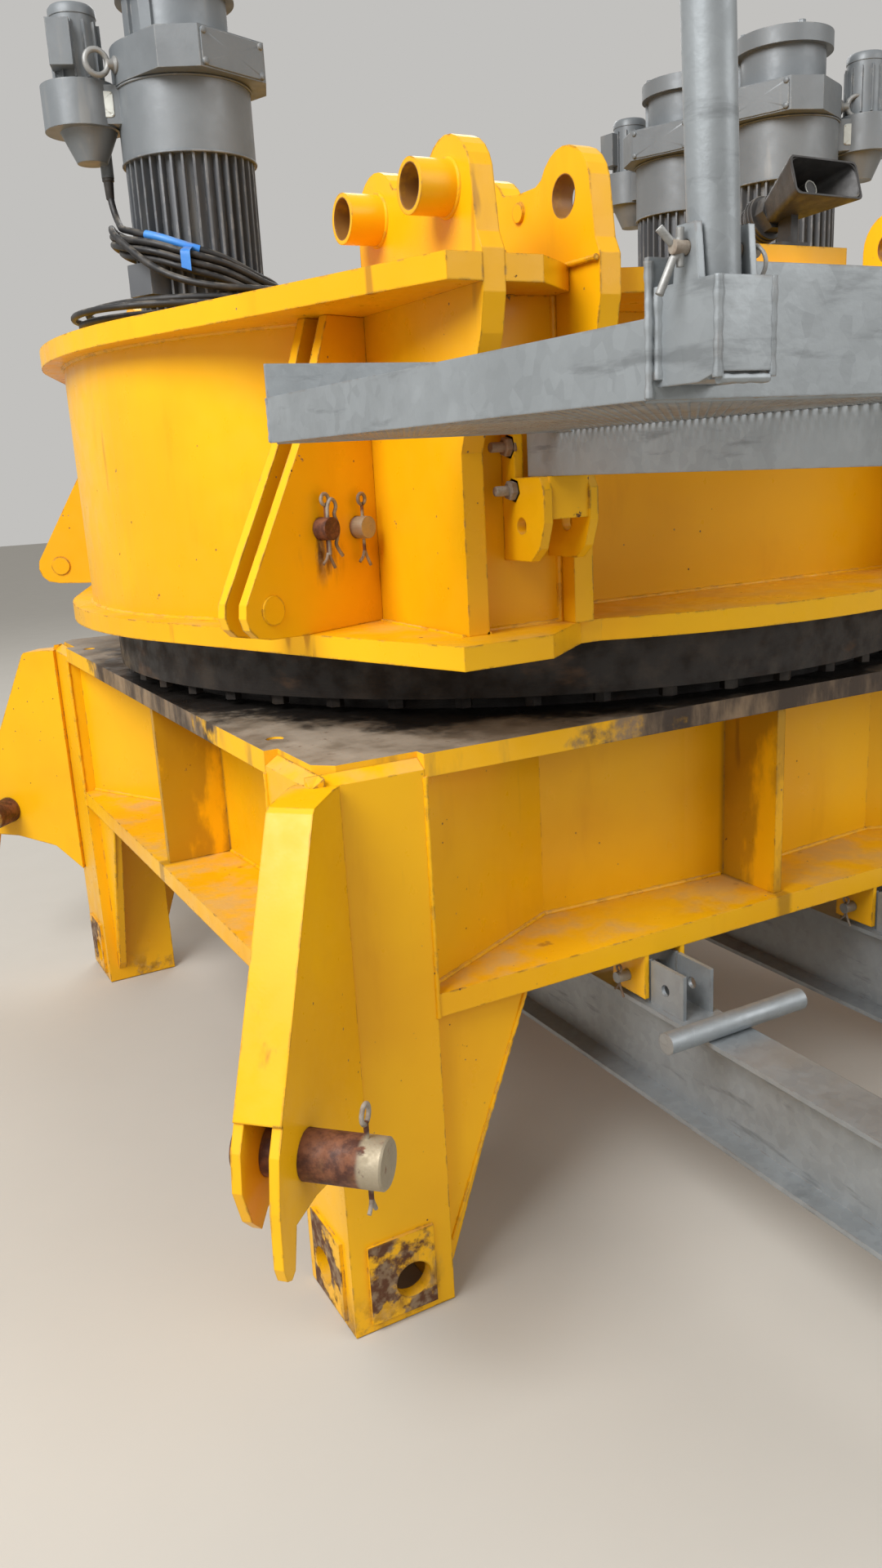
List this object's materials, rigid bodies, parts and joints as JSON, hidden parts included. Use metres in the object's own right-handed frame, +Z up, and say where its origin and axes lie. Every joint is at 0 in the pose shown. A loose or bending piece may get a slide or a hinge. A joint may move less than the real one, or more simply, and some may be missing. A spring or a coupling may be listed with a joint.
{
  "type": "tower crane slewing unit",
  "caption": "Tower crane slewing unit on four legs: lower support, slewing ring and turning deck with ears, motors and walkway.",
  "frame": {"origin": "on the ground, at the centre of the lower support, under the slewing axis", "axes": "+Z up along the slewing axis, -Y toward the walkway side, +X along the walkway side"},
  "size_m": [2.5854, 4, 2.6277],
  "materials": {
    "yellow_paint": "gloss, worn",
    "bare_steel": "matt, dusty",
    "greased_steel": "greasy",
    "rusty_steel": "matt, rusty",
    "galvanised": "satin",
    "grey_paint": "satin",
    "black_rubber": "matt, dusty",
    "dark_plastic": "matt"
  },
  "bodies": {
    "base": {"base_plate": "bare_steel", "base_flange": "yellow_paint", "base_web": "yellow_paint", "leg_fl": "yellow_paint", "leg_fr": "yellow_paint", "leg_bl": "yellow_paint", "leg_br": "yellow_paint", "climb_pin_fl": "rusty_steel", "climb_pin_fr": "rusty_steel", "climb_pin_bl": "rusty_steel", "climb_pin_br": "rusty_steel", "gear_ring": "greased_steel", "rail_left": "galvanised", "rail_right": "galvanised", "rail_pins": "galvanised", "cross_bar": "galvanised"},
    "deck": {"outer_race": "greased_steel", "deck_bottom": "yellow_paint", "deck_wall": "yellow_paint", "deck_tube": "yellow_paint", "deck_top_plate": "yellow_paint", "ear_fl": "yellow_paint", "ear_fr": "yellow_paint", "ear_bl": "yellow_paint", "ear_br": "yellow_paint", "side_lug_fl": "yellow_paint", "side_lug_bl": "yellow_paint", "side_lug_fr": "yellow_paint", "side_lug_br": "yellow_paint", "side_pins": "rusty_steel", "motor_left": "grey_paint", "motor_near": "grey_paint", "motor_far": "grey_paint", "walk_bracket": "yellow_paint", "walk_arm": "galvanised", "walk_frame": "galvanised", "walk_mesh": "galvanised", "guard_post": "galvanised", "post_pin": "galvanised", "horn": "dark_plastic", "cable_lead": "black_rubber", "cable_coil": "black_rubber", "cable_tail": "black_rubber", "cable_plug": "black_rubber"}
  },
  "joints": [
    {"name": "slew", "type": "hinge", "parent": "base", "child": "deck", "pos_m": [0, 0, 1.11], "axis": [0, 0, 1], "continuous": true}
  ]
}
